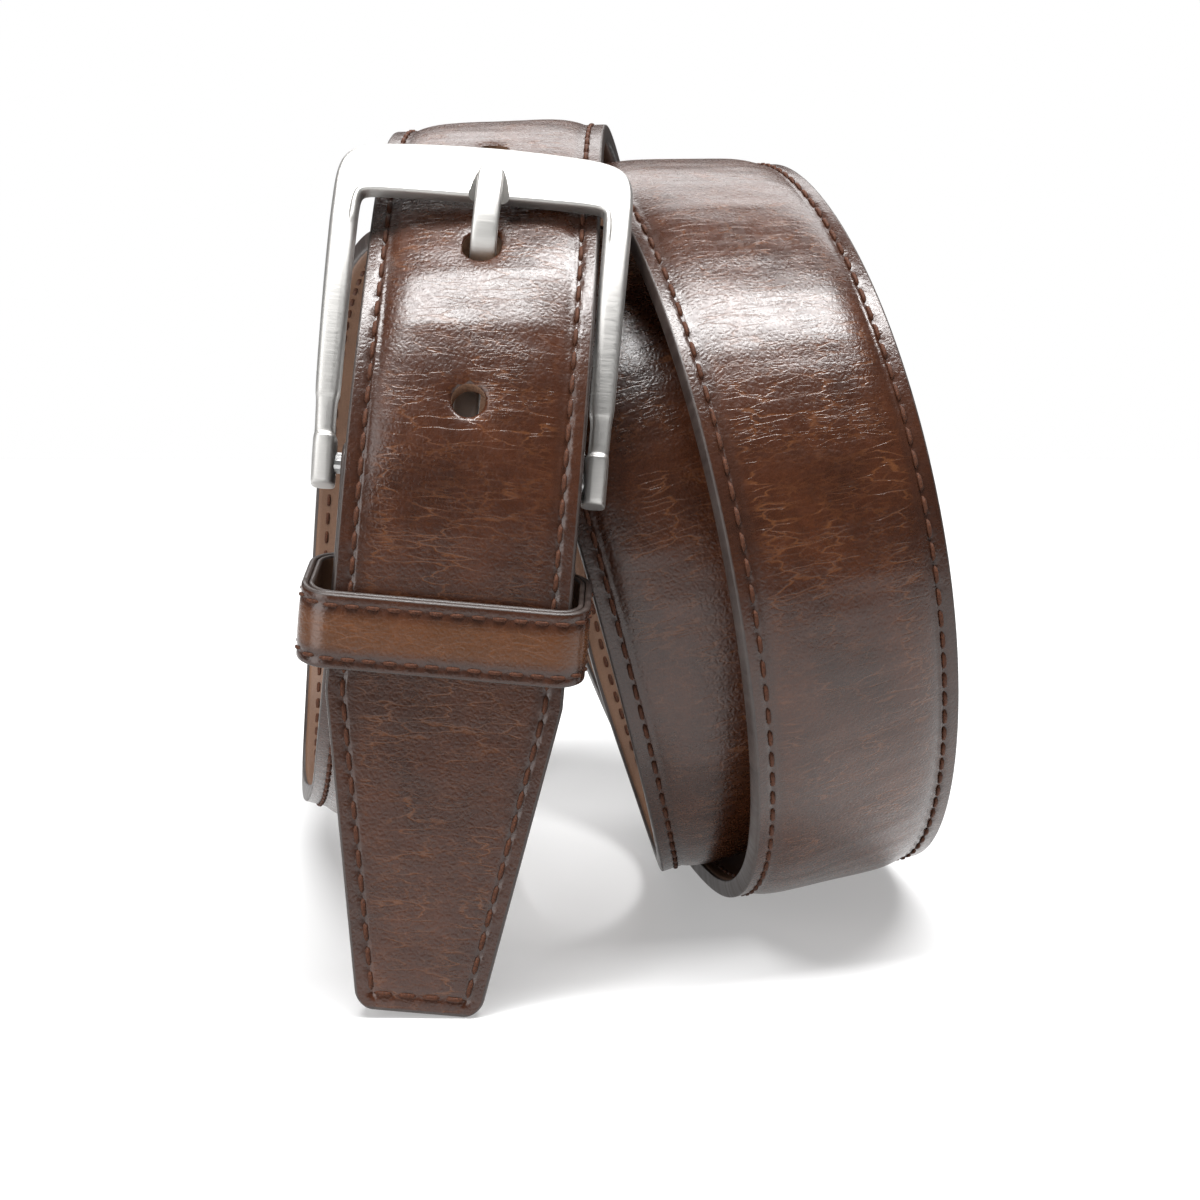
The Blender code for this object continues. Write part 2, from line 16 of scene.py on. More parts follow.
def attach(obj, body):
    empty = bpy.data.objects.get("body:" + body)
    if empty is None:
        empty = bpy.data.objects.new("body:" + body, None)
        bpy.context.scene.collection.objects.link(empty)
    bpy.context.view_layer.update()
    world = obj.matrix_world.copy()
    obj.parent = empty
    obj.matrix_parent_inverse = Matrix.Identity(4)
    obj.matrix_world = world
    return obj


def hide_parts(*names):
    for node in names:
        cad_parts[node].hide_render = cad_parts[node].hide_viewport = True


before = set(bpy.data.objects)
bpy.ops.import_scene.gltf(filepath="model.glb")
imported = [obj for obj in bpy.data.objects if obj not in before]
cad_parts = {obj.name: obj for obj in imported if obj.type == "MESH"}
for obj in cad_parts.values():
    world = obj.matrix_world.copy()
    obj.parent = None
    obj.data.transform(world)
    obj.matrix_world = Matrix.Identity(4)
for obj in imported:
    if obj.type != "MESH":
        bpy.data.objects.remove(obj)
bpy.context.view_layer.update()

MM = 0.001

# The wound strap: winding angle in degrees (0 front, 90 bottom, 180 back, 270 top, then on),
# and there the strap's place along X, its distance from the coil's axis, and its roll in degrees.
# The rows were chosen and then refined by a least-squares fit to outlines in the photo.
WINDING = (
    (-17, -16.4, 57.3, 1), (0, -17.9, 57.9, 1), (45, -24.4, 54.7, -20),
    (90, -29.8, 52.3, -13), (135, -33.8, 58.5, 4), (180, -31.6, 53.4, -1),
    (270, -12.7, 47.5, 0), (330, 12.2, 50.3, 4), (360, 20.6, 49.8, 3),
    (450, 29.9, 52.2, 19), (495, 21, 47, 8), (540, 14.2, 56.5, -6), (630, 18.3, 57.5, 0),
    (720, 40.4, 60.4, 21), (765, 43.7, 59.6, 23), (810, 37.6, 59.35, 3.5),
    (855, 23.3, 61.4, 0), (900, 5.3, 64.2, -3), (990, -11.9, 63.8, -2),
    (1035, -13.3, 63.9, -2), (1074, -16.5, 64.2, 0),
)
COIL_AXIS = (-4.4, 3.2, 62.15)
TIP_RUN = 69.0

# The strap, as in the CAD model
WIDTH = 35.0
MARGIN_TOP, MARGIN_BOTTOM = 1.5, -1.5
CROWN, CROWN_START, CROWN_END, CROWN_RAMP = 1.2, 50.0, 62.0, 40.0
TAPER_LENGTH, TIP_HALF_WIDTH, TIP_CORNER = 47.0, 9.2, 2.6
HOLE_DIAMETER, HOLE_PITCH, HOLE_COUNT, FIRST_HOLE = 5.1, 25.5, 5, 90.7
USED_HOLE, USED_HOLE_STRETCH = 1, 0.9
STITCH_INSET = 2.6
BAR_RADIUS = 1.6
WRAP_INSIDE, WRAP_OUTSIDE = 1.9, 3.2
WRAP_END, TAB_LENGTH = 5.5, 42.0
SLOT_WIDTH, SLOT_LENGTH = 5.8, 8.4

# Finish of the strap
STATION_PITCH, TIP_ZONE = 0.9, 3.6
STITCH_PITCH, STITCH_LENGTH, STITCH_WIDTH = 3.6, 2.9, 0.36
NEEDLE_START, BOBBIN_START = 14.5, 46.0
TIP_HOLE_COUNT = 5
GROOVE_DEPTH, GROOVE_WIDTH = 0.16, 0.38
PUCKER_DEPTH, PUCKER_LENGTH = 0.3, 0.62
HOLE_DIP, HOLE_DIP_WIDTH = 0.34, 0.55
CROWN_SHARE = 0.79
EDGE_ROUND = 0.45
TAB_POINTS, TAB_EDGE_POINTS = 15, 7
STRAP_SHADES = ((0.028, 0.0083, 0.0034), (0.041, 0.0122, 0.0048), (0.060, 0.0185, 0.0072))

# The buckle and the keeper, as in the CAD model
BAR_TO_TOE, HOLE_TO_TOE, TOE_LIFT, ARCH = 46.0, 11.0, 6.2, 4.2
BAR_HALF_LENGTH, BORE_CLEARANCE = 20.4, 0.5
SEAT_DIAMETER, SEAT_RISE, SEAT_LENGTH = 6.2, 3.9, 12.0
LIP, BUCKLE_SWELL = 0.55, 1.09
PRONG_WIDTH, PRONG_THICKNESS = 4.0, 2.6
KEEPER_FROM_TIP, KEEPER_WIDTH, KEEPER_TILT = 58.4, 11.0, 0.25
KEEPER_SLACK_LEFT, KEEPER_SLACK_RIGHT = 1.6, 0.9
KEEPER_SLACK_BELOW, KEEPER_SLACK_ABOVE = 1.5, 1.3
KEEPER_BEND = 3.0
KEEPER_PLIES_INSIDE = (0.02, 0.92, 1.87)
KEEPER_STITCH_PITCH, KEEPER_STITCH_INSET = 3.1, 1.6
EYE_CLEARANCE, EYE_THICKNESS = 0.35, 1.3


def spline(xs, ys, at):
    """The natural cubic spline through (xs, ys), read at the places in at."""
    count, step = len(xs), np.diff(xs)
    matrix, right = np.eye(count), np.zeros(count)
    for i in range(1, count - 1):
        matrix[i, i - 1:i + 2] = step[i - 1], 2 * (step[i - 1] + step[i]), step[i]
        right[i] = 6 * ((ys[i + 1] - ys[i]) / step[i] - (ys[i] - ys[i - 1]) / step[i - 1])
    bend = np.linalg.solve(matrix, right)
    i = np.clip(np.searchsorted(xs, at, side="right") - 1, 0, count - 2)
    a, c = (xs[i + 1] - at) / step[i], (at - xs[i]) / step[i]
    cubic = ((a**3 - a) * bend[i] + (c**3 - c) * bend[i + 1]) * step[i]**2 / 6
    return a * ys[i] + c * ys[i + 1] + cubic


def unit(vectors):
    return vectors / np.linalg.norm(vectors, axis=-1, keepdims=True)


class StrapPath:
    """The middle line of the strap's margins, by distance in mm from the heel bar."""

    def __init__(self):
        table = np.array(WINDING, float)
        turn = np.linspace(table[0, 0], table[-1, 0], 3000)
        along, radius, roll = (spline(table[:, 0], table[:, k], turn) for k in (1, 2, 3))
        angle = np.radians(turn)
        points = np.stack([along, -radius * np.cos(angle), -radius * np.sin(angle)], 1)
        points += np.array(COIL_AXIS)
        heading = unit(points[-1] - points[-2])
        run = np.linspace(0, TIP_RUN, 140)[1:, None]
        self.points = np.vstack([points, points[-1] + heading * run])
        self.roll = np.radians(np.r_[roll, np.full(len(run), roll[-1])])
        steps = np.linalg.norm(np.diff(self.points, axis=0), axis=1)
        self.distance = np.r_[0, np.cumsum(steps)]
        self.length = self.distance[-1]
        self.tangent = np.gradient(self.points, self.distance, axis=0)

    def at(self, distance):
        """The points, and the unit vectors along, across and out of the strap, as rows."""
        d = np.atleast_1d(np.asarray(distance, float))
        point, along = (np.stack([np.interp(d, self.distance, c) for c in columns.T], 1)
                        for columns in (self.points, self.tangent))
        along = unit(along)
        across = unit(np.array((1.0, 0, 0)) - along[:, :1] * along)
        outward = np.cross(along, across)
        roll = np.interp(d, self.distance, self.roll)[:, None]
        side = across * np.cos(roll) - outward * np.sin(roll)
        return point, along, side, outward * np.cos(roll) + across * np.sin(roll)

    def one(self, distance):
        return [Vector(rows[0]) for rows in self.at(distance)]


PATH = StrapPath()


def half_width(from_tip):
    """Half the strap's width, which tapers towards the tip and rounds off at its corners."""
    from_tip = np.asarray(from_tip, float)
    share = np.clip(from_tip / TAPER_LENGTH, 0, 1)
    taper = TIP_HALF_WIDTH + (WIDTH / 2 - TIP_HALF_WIDTH) * share
    corner = np.clip(1 - from_tip / TIP_CORNER, 0, 1)
    return taper - TIP_CORNER * (1 - np.sqrt(1 - corner**2))


def crown_at(distance):
    """How high the padded middle stands: it grows after the buckle and fades before the tip."""
    grow = np.clip((distance - CROWN_START) / CROWN_RAMP, 0, 1)
    fade = np.clip((PATH.length - distance - CROWN_END) / CROWN_RAMP, 0, 1)
    return CROWN * np.minimum(grow, fade)


# ---------------------------------------------------------------------------------------------
# Meshes

def new_object(name, verts, faces, materials, body):
    """A smooth mesh from points in mm, which moves with this body."""
    mesh = bpy.data.meshes.new(name)
    mesh.from_pydata((np.asarray(verts).reshape(-1, 3) * MM).tolist(), [], faces)
    for made_of in materials:
        mesh.materials.append(made_of)
    obj = bpy.data.objects.new(name, mesh)
    bpy.context.scene.collection.objects.link(obj)
    mesh.shade_smooth()
    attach(obj, body)
    return obj


def tube_faces(rows, columns, closed_rows=False):
    """Quads between rings of points, and the two end faces unless the rings run round."""
    at = np.arange(rows * columns).reshape(rows, columns)
    if closed_rows:
        at = np.vstack([at, at[:1]])
    beside = np.roll(at, -1, axis=1)
    quads = np.stack([at[:-1], beside[:-1], beside[1:], at[1:]], -1).reshape(-1, 4)
    faces = quads.tolist()
    if not closed_rows:
        faces += [at[0, ::-1].tolist(), at[-1].tolist()]
    return faces


def facing_out(obj):
    """Turns every face's normal outward."""
    bm = bmesh.new()
    bm.from_mesh(obj.data)
    bmesh.ops.recalc_face_normals(bm, faces=bm.faces)
    bm.to_mesh(obj.data)
    bm.free()


def set_uv(obj, across_and_along):
    """UV in units of 100 mm across and along the leather, one pair for each vertex."""
    layer = obj.data.uv_layers.new(name="leather_uv")
    corners = np.empty(len(obj.data.loops), np.int32)
    obj.data.loops.foreach_get("vertex_index", corners)
    flat = np.asarray(across_and_along, np.float32).reshape(-1, 2)[corners] / 100
    layer.data.foreach_set("uv", flat.ravel())


def set_value(obj, name, values):
    attribute = obj.data.attributes.new(name, "FLOAT", "POINT")
    attribute.data.foreach_set("value", np.asarray(values, np.float32).ravel())


def set_material(obj, index, of_face):
    """Gives the faces whose numbers are in of_face this material slot."""
    numbers = np.zeros(len(obj.data.polygons), np.int32)
    obj.data.polygons.foreach_get("material_index", numbers)
    numbers[of_face] = index
    obj.data.polygons.foreach_set("material_index", numbers)


def above_floor(points):
    """Presses the points that lie under the floor up to it, as the CAD model does."""
    points[..., 2] = np.maximum(points[..., 2], 0.0)
    return points


def subdivide(obj, levels=2):
    modifier = obj.modifiers.new("smooth", "SUBSURF")
    modifier.levels = modifier.render_levels = levels


def cut_with(obj, cutter):
    """Applies the modifiers of obj and takes the cutter away from it."""
    boolean = obj.modifiers.new("cut", "BOOLEAN")
    boolean.operation = "DIFFERENCE"
    boolean.solver = "EXACT"
    boolean.material_mode = "TRANSFER"
    boolean.object = cutter
    graph = bpy.context.evaluated_depsgraph_get()
    done = bpy.data.meshes.new_from_object(obj.evaluated_get(graph))
    obj.modifiers.clear()
    obj.data = done


# ---------------------------------------------------------------------------------------------
# Materials

class Nodes:
    """A short way to write a node tree."""

    def __init__(self, name):
        self.material = bpy.data.materials.new(name)
        self.material.use_nodes = True
        self.tree = self.material.node_tree
        self.shader = self.tree.nodes["Principled BSDF"]

    def add(self, kind, settings=None, **inputs):
        node = self.tree.nodes.new(kind)
        for key, value in (settings or {}).items():
            setattr(node, key, value)
        for key, value in inputs.items():
            self.feed(node.inputs[int(key[1:]) if key[0] == "i" and key[1:].isdigit()
                                  else key.replace("_", " ")], value)
        return node

    def feed(self, socket, value):
        if hasattr(value, "links"):
            self.tree.links.new(value, socket)
        elif isinstance(value, bpy.types.Node):
            self.tree.links.new(value.outputs[0], socket)
        else:
            socket.default_value = value

    def set(self, **inputs):
        for key, value in inputs.items():
            self.feed(self.shader.inputs[key.replace("_", " ")], value)

    def math(self, operation, a, b):
        node = self.add("ShaderNodeMath", {"operation": operation})
        self.feed(node.inputs[0], a)
        self.feed(node.inputs[1], b)
        return node

    def noise(self, vector, scale, detail=2.0, roughness=0.5):
        return self.add("ShaderNodeTexNoise", Vector=vector, Scale=scale, Detail=detail,
                        Roughness=roughness)

    def leather_uv(self):
        return self.add("ShaderNodeUVMap", {"uv_map": "leather_uv"}).outputs[0]

    def object_place(self):
        return self.add("ShaderNodeTexCoord").outputs["Object"]

    def stretch(self, vector, scale):
        return self.add("ShaderNodeMapping", Vector=vector, Scale=scale)

    def ramp(self, fac, stops):
        node = self.add("ShaderNodeValToRGB")
        self.feed(node.inputs[0], fac)
        elements = node.color_ramp.elements
        while len(elements) < len(stops):
            elements.new(0.5)
        for element, (place, colour) in zip(elements, stops):
            element.position = place
            element.color = (*colour, 1)
        return node

    def mix(self, factor, a, b, blend="MIX"):
        node = self.add("ShaderNodeMix", {"data_type": "RGBA", "blend_type": blend})
        self.feed(node.inputs[0], factor)
        self.feed(node.inputs[6], a)
        self.feed(node.inputs[7], b)
        return node.outputs[2]

    def bump(self, height, distance):
        return self.add("ShaderNodeBump", Height=height, Distance=distance, Strength=1.0)


def remap(nodes, value, low, high, to_low=0.0, to_high=1.0):
    """Eases value from between low and high to between to_low and to_high."""
    node = nodes.add("ShaderNodeMapRange", {"interpolation_type": "SMOOTHSTEP"})
    for socket, number in zip(node.inputs[:5], (value, low, high, to_low, to_high)):
        nodes.feed(socket, number)
    return node.outputs[0]


def crease_lines(nodes, uv, across_mm, along_mm, thin, sway):
    """A net of thin creases whose cells lie across the strap: 1 on a line, 0 away from it."""
    sized = nodes.stretch(uv, (100 / across_mm, 100 / along_mm, 1))
    push = nodes.add("ShaderNodeTexNoise", Vector=sized, Scale=1.3, Detail=2.0)
    centred = nodes.add("ShaderNodeVectorMath", {"operation": "SUBTRACT"})
    nodes.feed(centred.inputs[0], push.outputs["Color"])
    centred.inputs[1].default_value = (0.5, 0.5, 0.5)
    swayed = nodes.add("ShaderNodeVectorMath", {"operation": "MULTIPLY_ADD"})
    nodes.feed(swayed.inputs[0], centred)
    swayed.inputs[1].default_value = (sway, sway, sway)
    nodes.feed(swayed.inputs[2], sized)
    cells = nodes.add("ShaderNodeTexVoronoi", {"feature": "DISTANCE_TO_EDGE"},
                      Vector=swayed.outputs[0], Scale=1.0)
    return remap(nodes, cells.outputs[0], 0.0, thin, 1.0, 0.0)


def brown_leather(name, shades, burnish):
    """Creased, polished leather: three base shades, and how far its crown is rubbed lighter."""
    n = Nodes(name)
    uv = n.leather_uv()
    grain_uv = n.stretch(uv, (100, 100, 1))
    cloud = n.noise(n.stretch(uv, (9, 6, 1)), 1.0, 3.0, 0.6)
    fine_cloud = n.noise(grain_uv, 0.35, 4.0, 0.7)
    base = n.ramp(cloud, [(0.3, shades[0]), (0.52, shades[1]), (0.75, shades[2])])
    mottle = n.ramp(fine_cloud, [(0.35, (0.78, 0.78, 0.78)), (0.65, (1.18, 1.13, 1.08))])
    base = n.mix(0.6, base, mottle, "MULTIPLY")
    crown = n.add("ShaderNodeAttribute", {"attribute_name": "crown"}).outputs["Fac"]
    base = n.mix(n.math("MULTIPLY", crown, burnish), base, (0.19, 0.078, 0.028, 1))
    broad = crease_lines(n, uv, 9.5, 2.2, 0.05, 1.1)
    fine = crease_lines(n, uv, 3.6, 0.9, 0.08, 0.9)
    where = remap(n, n.noise(n.stretch(uv, (16, 9, 1)), 1.0, 2.0), 0.38, 0.62)
    where_fine = remap(n, n.noise(n.stretch(uv, (11, 19, 1)), 1.0, 2.0), 0.35, 0.65)
    broad = n.math("MULTIPLY", broad, n.math("ADD", n.math("MULTIPLY", where, 0.5), 0.12))
    fine = n.math("MULTIPLY", fine, n.math("ADD", n.math("MULTIPLY", where_fine, 0.26), 0.05))
    lines = n.math("MAXIMUM", broad, fine)
    lines = n.math("MULTIPLY", lines, remap(n, crown, 0.0, 1.0, 0.2, 0.8))
    colour = n.mix(lines, base, (0.15, 0.056, 0.020, 1))
    # Painted shade: the base colour is darkened on the margins beside the crown, where the crown's
    # highlight does not reach.
    painted_margin_shade = remap(n, crown, 0.0, 0.5, 1.0, 0.0)
    colour = n.mix(n.math("MULTIPLY", painted_margin_shade, 0.35), colour, (0.026, 0.0115, 0.0075, 1))
    cells = n.add("ShaderNodeTexVoronoi", {"feature": "DISTANCE_TO_EDGE"}, Vector=grain_uv,
                  Scale=1.15)
    pebble = remap(n, cells.outputs[0], 0.0, 0.35)
    pores = n.noise(grain_uv, 3.2, 3.0, 0.6)
    height = n.math("ADD", n.math("MULTIPLY", pebble, 0.5), n.math("MULTIPLY", pores, 0.5))
    height = n.math("SUBTRACT", height, n.math("MULTIPLY", lines, 1.2))
    bump = n.bump(height, 0.000045)
    wear = n.noise(grain_uv, 0.8, 3.0, 0.6)
    n.set(Base_Color=colour, Roughness=remap(n, wear, 0.3, 0.7, 0.24, 0.31), Normal=bump,
          Specular_IOR_Level=0.45, Coat_Weight=0.22, Coat_Roughness=0.2)
    return n.material


def edge_paint():
    n = Nodes("edge_paint")
    uv = n.leather_uv()
    wave = n.noise(n.stretch(uv, (100, 100, 1)), 0.6, 3.0, 0.6)
    colour = n.ramp(wave, [(0.3, (0.028, 0.0195, 0.017)), (0.7, (0.05, 0.036, 0.031))])
    n.set(Base_Color=colour, Roughness=remap(n, wave, 0.3, 0.7, 0.36, 0.5),
          Normal=n.bump(wave, 0.00008))
    return n.material


def lining_leather():
    n = Nodes("lining_leather")
    uv = n.leather_uv()
    grain_uv = n.stretch(uv, (100, 100, 1))
    cloud = n.noise(n.stretch(uv, (8, 5, 1)), 1.0, 3.0, 0.6)
    pores = n.noise(grain_uv, 2.6, 4.0, 0.65)
    colour = n.ramp(cloud, [(0.3, (0.125, 0.064, 0.036)), (0.7, (0.185, 0.098, 0.056))])
    speck = n.ramp(pores, [(0.4, (0.86, 0.84, 0.82)), (0.65, (1.08, 1.06, 1.04))])
    n.set(Base_Color=n.mix(0.7, colour, speck, "MULTIPLY"), Roughness=0.58,
          Normal=n.bump(pores, 0.00006))
    return n.material


def cut_leather():
    n = Nodes("cut_leather")
    where = n.object_place()
    fibres = n.noise(where, 2600.0, 4.0, 0.7)
    colour = n.ramp(fibres, [(0.3, (0.13, 0.068, 0.04)), (0.7, (0.30, 0.17, 0.10))])
    n.set(Base_Color=colour, Roughness=0.85, Normal=n.bump(fibres, 0.0001))
    return n.material


def thread_material():
    n = Nodes("dark_thread")
    where = n.object_place()
    twist = n.noise(where, 4200.0, 3.0, 0.6)
    colour = n.ramp(twist, [(0.35, (0.034, 0.012, 0.006)), (0.7, (0.105, 0.036, 0.016))])
    n.set(Base_Color=colour, Roughness=0.62, Normal=n.bump(twist, 0.00008), Sheen_Weight=0.04,
          Sheen_Roughness=0.4, Specular_IOR_Level=0.2)
    return n.material


def satin_nickel(name, roughness, brush):
    """Brushed satin nickel, with its brush marks along the buckle's own X."""
    n = Nodes(name)
    where = n.object_place()
    turned = n.add("ShaderNodeMapping", Vector=where,
                   Rotation=BUCKLE.matrix().inverted().to_euler())
    marks = n.noise(n.stretch(turned, (60, 5200, 5200)), 1.0, 3.0, 0.65)
    cloud = n.noise(where, 90.0, 3.0, 0.6)
    colour = n.ramp(cloud, [(0.3, (0.49, 0.48, 0.465)), (0.7, (0.58, 0.57, 0.55))])
    rough = remap(n, marks, 0.3, 0.7, roughness - 0.06, roughness + 0.08)
    n.set(Base_Color=colour, Metallic=1.0, Roughness=rough, Normal=n.bump(marks, brush))
    return n.material


def steel_wire():
    n = Nodes("steel_wire")
    where = n.object_place()
    drawn = n.noise(n.stretch(where, (300, 4000, 4000)), 1.0, 2.0)
    colour = n.ramp(drawn, [(0.3, (0.42, 0.42, 0.42)), (0.7, (0.55, 0.55, 0.54))])
    n.set(Base_Color=colour, Metallic=1.0, Roughness=0.32, Normal=n.bump(drawn, 0.00002))
    return n.material


# ---------------------------------------------------------------------------------------------
# The strap

# Distances from the strap's edge where its top surface has points: closest at the stitches
EDGE_COLUMNS = np.array([0.0, 0.2, 0.6, 1.1, 1.6, 2.0, 2.25, 2.45, 2.6, 2.75, 2.95, 3.2, 3.6,
                         4.1, 4.7])


def strap_stations(start):
    """Distances along the strap where its meshes have rings: even, then closer at the tip."""
    fine = [0.0, 0.06, 0.16, 0.3, 0.5, 0.8, 1.15, 1.6, 2.1, 2.6, 3.2]
    body = np.arange(start, PATH.length - TIP_ZONE, STATION_PITCH)
    return np.r_[body, PATH.length - np.array(fine[::-1])]


def stitch_places(start):
    """Distances along the strap of the needle's holes, counted back from the tip's row."""
    end = PATH.length - STITCH_INSET
    count = int((end - start) // STITCH_PITCH)
    return end - STITCH_PITCH * np.arange(count + 1)[::-1]


NEEDLE_HOLES = stitch_places(NEEDLE_START)
TIP_ROW_HALF = half_width(STITCH_INSET) - STITCH_INSET
TIP_HOLES = np.linspace(-1, 1, TIP_HOLE_COUNT) * TIP_ROW_HALF


def smoothstep(x):
    x = np.clip(x, 0, 1)
    return x * x * (3 - 2 * x)


def strap_grid(distance):
    """Offsets across the strap of the top surface's points, one row for each distance."""
    wide = half_width(PATH.length - distance)[:, None] - EDGE_ROUND
    near = EDGE_COLUMNS[None, :] * np.minimum(1, wide / 9.0)
    middle = np.linspace(0, 1, 13)[None, 1:]
    inner = near[:, -1:] + (wide - near[:, -1:]) * middle
    from_edge = np.hstack([near, inner])
    left = -wide + from_edge
    return np.hstack([left, -left[:, -2::-1]])


def wander(d, v, waves=9, scale_d=9.0, scale_v=11.0, seed=3):
    """A smooth field of hills about 1 high over the leather, from sines in random directions."""
    dice = np.random.default_rng(seed)
    total = np.zeros(np.broadcast(d, v).shape)
    for _ in range(waves):
        fd, fv = dice.normal(size=2)
        total += np.sin(fd * d / scale_d * 3 + fv * v / scale_v * 3 + dice.uniform(0, 6.3))
    return total / math.sqrt(waves / 2)


def top_height(distance, across):
    """Height of the leather's top surface over the strap's middle line."""
    d = distance[:, None]
    wide = half_width(PATH.length - distance)[:, None]
    share = np.clip(np.abs(across) / wide / CROWN_SHARE, 0, 1)
    dome = 1 - share**5
    lift = crown_at(d)
    height = MARGIN_TOP + lift * dome
    from_edge = wide - np.abs(across)
    groove = np.exp(-((from_edge - STITCH_INSET) / GROOVE_WIDTH)**2)
    from_end = PATH.length - d
    in_row = smoothstep((from_end - STITCH_INSET + 0.9) / 0.6)
    height -= GROOVE_DEPTH * groove * in_row
    closest_hole = np.abs(d - NEEDLE_HOLES).argmin(1)
    nearest = np.abs(d - NEEDLE_HOLES[closest_hole][:, None])
    height -= PUCKER_DEPTH * np.exp(-(nearest / PUCKER_LENGTH)**2) * groove * in_row
    swell = np.exp(-((from_edge - STITCH_INSET) / 1.1)**2)
    height += 0.07 * swell * (np.exp(-((nearest - STITCH_PITCH / 2) / 0.9)**2) - 0.5) * in_row
    in_end_row = smoothstep((TIP_ROW_HALF - np.abs(across)) / 0.5)
    end_groove = np.exp(-((from_end - STITCH_INSET) / GROOVE_WIDTH)**2)
    height -= GROOVE_DEPTH * end_groove * in_end_row
    undulate = wander(d, across, scale_d=7.0, scale_v=22.0)
    height += 0.045 * undulate * dome * np.clip(lift / CROWN + 0.25, 0, 1)
    for i in range(HOLE_COUNT):
        centre = PATH.length - FIRST_HOLE - i * HOLE_PITCH
        away = np.hypot(d - centre, across) - HOLE_DIAMETER / 2
        height -= HOLE_DIP * np.exp(-np.clip(away, 0, None) / HOLE_DIP_WIDTH)
    return height


def edge_profile(top, bottom, steps=6):
    """The painted edge's bulge, from top to bottom: how far out each point is, and how high."""
    turn = np.linspace(0, math.pi, 2 * steps + 1)[1:-1]
    middle, half = (top + bottom) / 2, (top - bottom) / 2
    out = EDGE_ROUND * np.sin(turn)**0.6
    up = np.sign(np.cos(turn)) * np.abs(np.cos(turn))**0.75
    return out, middle[:, None] + half[:, None] * up


def strap_leather(brown, paint, cut):
    distance = strap_stations(WRAP_END)
    point, _, side, outward = PATH.at(distance)
    across = strap_grid(distance)
    height = top_height(distance, across)
    # The painted edge rounds over at the very end of the tip, as it does along the sides.
    tip = np.clip(1 - (PATH.length - distance) / EDGE_ROUND, 0, 1)
    thin = EDGE_ROUND * (1 - np.sqrt(1 - tip**2 + 1e-12))
    height -= thin[:, None]
    base = np.full(len(distance), MARGIN_BOTTOM + 0.06) + thin
    out, edge_height = edge_profile(height[:, 0], base)
    wide = half_width(PATH.length - distance)[:, None] - EDGE_ROUND
    under = np.array([-1, 1]) * (wide - 0.9)
    under_height = np.repeat(base[:, None] + 0.25, 2, 1)
    v = np.hstack([across, wide + out, under[:, ::-1], (-wide - out)[:, ::-1]])
    h = np.hstack([height, edge_height, under_height, edge_height[:, ::-1]])
    points = point[:, None] + side[:, None] * v[..., None] + outward[:, None] * h[..., None]
    rows, columns = v.shape
    faces = tube_faces(rows, columns)
    obj = new_object("strap_leather", above_floor(points), faces, [brown, paint], "strap")
    top_count = across.shape[1]
    faces_at = np.arange((rows - 1) * columns).reshape(rows - 1, columns)
    painted = faces_at[:, top_count - 1:].ravel()
    tip_faces = faces_at[PATH.length - distance[1:] < EDGE_ROUND].ravel()
    set_material(obj, 1, np.r_[painted, tip_faces, rows * columns - columns, len(faces) - 1])
    along = np.repeat(distance[:, None], columns, 1)
    set_uv(obj, np.stack([v, along], -1))
    share = np.abs(v) / (wide + EDGE_ROUND)
    set_value(obj, "crown", np.clip((CROWN_SHARE - share) / 0.14, 0, 1))
    facing_out(obj)
    cut_with(obj, belt_holes("leather_holes", cut))
    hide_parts("outer_leather", "filler")


def belt_holes(name, cut):
    """Five punches, as one cutter mesh."""
    bm = bmesh.new()
    for i in range(HOLE_COUNT):
        point, _, side, outward = PATH.one(PATH.length - FIRST_HOLE - i * HOLE_PITCH)
        place = Matrix((side, outward.cross(side), outward)).transposed().to_4x4()
        place.translation = point * MM
        stretch = USED_HOLE_STRETCH if i == USED_HOLE else 0
        radius = (HOLE_DIAMETER + stretch) / 2 * MM
        bmesh.ops.create_cone(bm, cap_ends=True, segments=48, radius1=radius, radius2=radius,
                              depth=9 * MM, matrix=place)
    return hidden_cutter(name, bm, cut)


def hidden_cutter(name, bm, cut):
    mesh = bpy.data.meshes.new(name)
    bm.to_mesh(mesh)
    bm.free()
    mesh.materials.append(cut)
    return bpy.data.objects.new(name, mesh)


def strap_lining(smooth_brown, cut):
    distance = strap_stations(TAB_LENGTH)
    point, _, side, outward = PATH.at(distance)
    wide = half_width(PATH.length - distance)[:, None] - EDGE_ROUND - 0.12
    share = np.r_[np.linspace(-1, -0.9, 5), np.linspace(-0.8, 0.8, 17), np.linspace(0.9, 1, 5)]
    v = wide * share
    rim = np.clip((1 - np.abs(share)) * WIDTH / 2 / 0.4, 0, 1)
    from_edge = wide - np.abs(v) + EDGE_ROUND
    groove = np.exp(-((from_edge - STITCH_INSET) / 0.5)**2)
    low = MARGIN_BOTTOM - 0.02 + 0.22 * (1 - rim)**2 + 0.1 * groove
    low = low + 0.02 * wander(distance[:, None], v, seed=8)
    high = np.full_like(v, MARGIN_BOTTOM + 0.42)
    v = np.hstack([v, v[:, ::-1]])
    h = np.hstack([high, low[:, ::-1]])
    points = point[:, None] + side[:, None] * v[..., None] + outward[:, None] * h[..., None]
    obj = new_object("strap_lining", above_floor(points), tube_faces(*v.shape),
                     [smooth_brown], "strap")
    set_uv(obj, np.stack([v, np.repeat(distance[:, None], v.shape[1], 1)], -1))
    facing_out(obj)
    cut_with(obj, belt_holes("lining_holes", cut))
    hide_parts("lining")


# ---------------------------------------------------------------------------------------------
# Stitches

